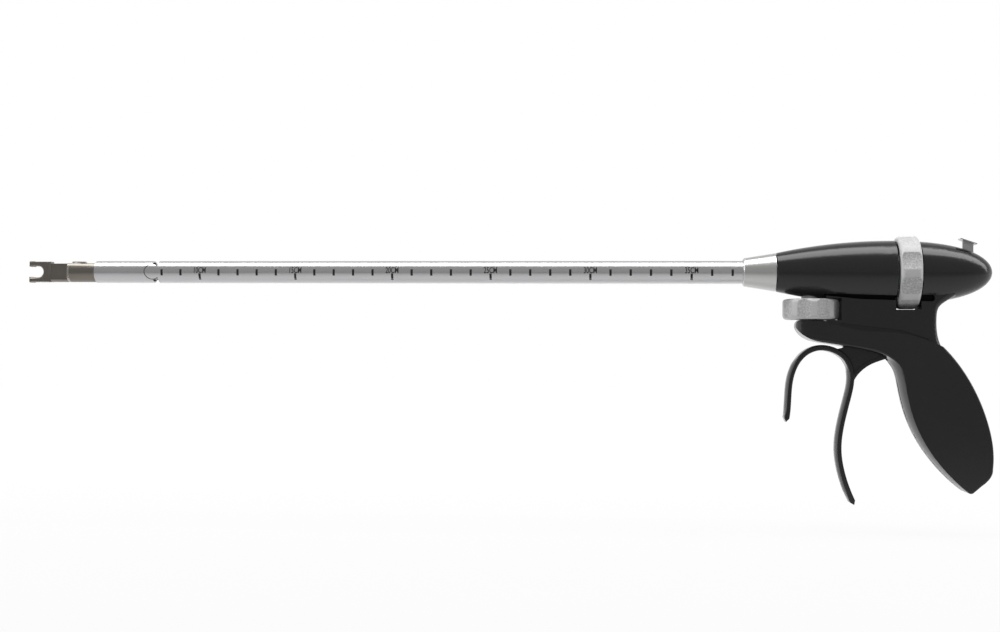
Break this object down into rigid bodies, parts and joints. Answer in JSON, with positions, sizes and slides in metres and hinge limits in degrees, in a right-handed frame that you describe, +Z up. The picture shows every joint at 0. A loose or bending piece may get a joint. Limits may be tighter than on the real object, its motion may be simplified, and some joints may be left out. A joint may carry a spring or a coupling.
{
  "type": "endoscopic stapler",
  "caption": "Long-shafted surgical stapler with a pistol handle, a squeeze trigger, a turning shaft ring and an angled fork head.",
  "frame": {"origin": "on the shaft axis, at the front face of the ferrule where the slim shaft enters the handle", "axes": "-X along the shaft toward the fork tip, +X toward the handle, +Z up, -Y the side with the length scale"},
  "size_m": [0.4875, 0.0358, 0.1315],
  "materials": {
    "black_plastic": "gloss black moulding",
    "grey_plastic": "fine-grained light grey moulding",
    "satin_steel": "satin",
    "dark_steel": "dark satin",
    "bright_steel": "polished",
    "bearing_plastic": "natural acetal"
  },
  "bodies": {
    "handle": {"handle_half_near": "black_plastic", "handle_half_far": "black_plastic", "handle_screws": "bright_steel", "trigger_pin": "bright_steel", "wheel_axle": "bright_steel", "front_bearing": "bearing_plastic", "rear_bearing": "bearing_plastic"},
    "shaft": {"ferrule": "satin_steel", "outer_tube": "satin_steel", "spindle_tube": "bright_steel", "rotation_ring": "grey_plastic", "joint_clevis": "dark_steel", "pivot_pins": "bright_steel", "spring_stop": "bright_steel", "tail_clip": "bright_steel"},
    "trigger_lever": {"trigger": "black_plastic", "drive_lever": "bright_steel", "lever_rivet": "bright_steel"},
    "drive_slider": {"drive_collar": "bearing_plastic", "drive_pin": "bright_steel", "push_rod": "bright_steel", "drive_strip": "bright_steel", "return_spring": "bright_steel"},
    "bend_wheel": {"articulation_wheel": "grey_plastic"},
    "bend_yoke": {"articulation_yoke": "bright_steel"},
    "bend_rod": {"articulation_collar": "bearing_plastic", "articulation_pin": "bright_steel", "articulation_rod": "bright_steel"},
    "head": {"head_tube": "satin_steel", "joint_tongue": "dark_steel", "link_pin": "bright_steel", "cartridge_body": "dark_steel", "fork_tip": "dark_steel", "lock_leaf": "dark_steel"},
    "driver": {"staple_driver": "bright_steel", "staple": "bright_steel"},
    "tab": {"release_tab": "satin_steel", "tab_spring": "bright_steel"}
  },
  "joints": [
    {"name": "shaft_turn", "type": "hinge", "parent": "handle", "child": "shaft", "pos_m": [0, 0, 0], "axis": [1, 0, 0], "continuous": true},
    {"name": "trigger_squeeze", "type": "hinge", "parent": "handle", "child": "trigger_lever", "pos_m": [0.0575, 0, -0.0285], "axis": [0, -1, 0], "range_deg": [0, 25], "stiffness_Nm_per_rad": 0.6, "springref_deg": -11.46},
    {"name": "drive_stroke", "type": "slide", "parent": "shaft", "child": "drive_slider", "axis": [-1, 0, 0], "range_m": [0, 0.00887], "deforming": ["drive_strip", "return_spring"]},
    {"name": "bend_turn", "type": "hinge", "parent": "handle", "child": "bend_wheel", "pos_m": [0.0331, 0, -0.0183], "axis": [0, 0, 1], "range_deg": [-45, 45]},
    {"name": "yoke_slide", "type": "slide", "parent": "handle", "child": "bend_yoke", "axis": [-1, 0, 0], "range_m": [-0.0015, 0.0015]},
    {"name": "bend_slide", "type": "slide", "parent": "shaft", "child": "bend_rod", "axis": [-1, 0, 0], "range_m": [-0.0015, 0.0015]},
    {"name": "head_bend", "type": "hinge", "parent": "shaft", "child": "head", "pos_m": [-0.30065, 0, 0], "axis": [0, -1, 0], "range_deg": [-30, 30]},
    {"name": "driver_stroke", "type": "slide", "parent": "head", "child": "driver", "axis": [-1, 0, 0], "range_m": [0, 0.00887]},
    {"name": "tab_press", "type": "slide", "parent": "handle", "child": "tab", "axis": [0, 0, -1], "range_m": [0, 0.0025], "stiffness_N_per_m": 300, "springref_m": -0.002, "deforming": ["tab_spring"]}
  ],
  "couplings": [
    {"joint": "trigger_squeeze", "follows": "drive_stroke", "rad_per_m": 49.17},
    {"joint": "driver_stroke", "follows": "drive_stroke", "ratio": 1},
    {"joint": "yoke_slide", "follows": "bend_slide", "ratio": 1},
    {"joint": "bend_turn", "follows": "bend_slide", "rad_per_m": 523.5},
    {"joint": "head_bend", "follows": "bend_slide", "rad_per_m": 349}
  ]
}
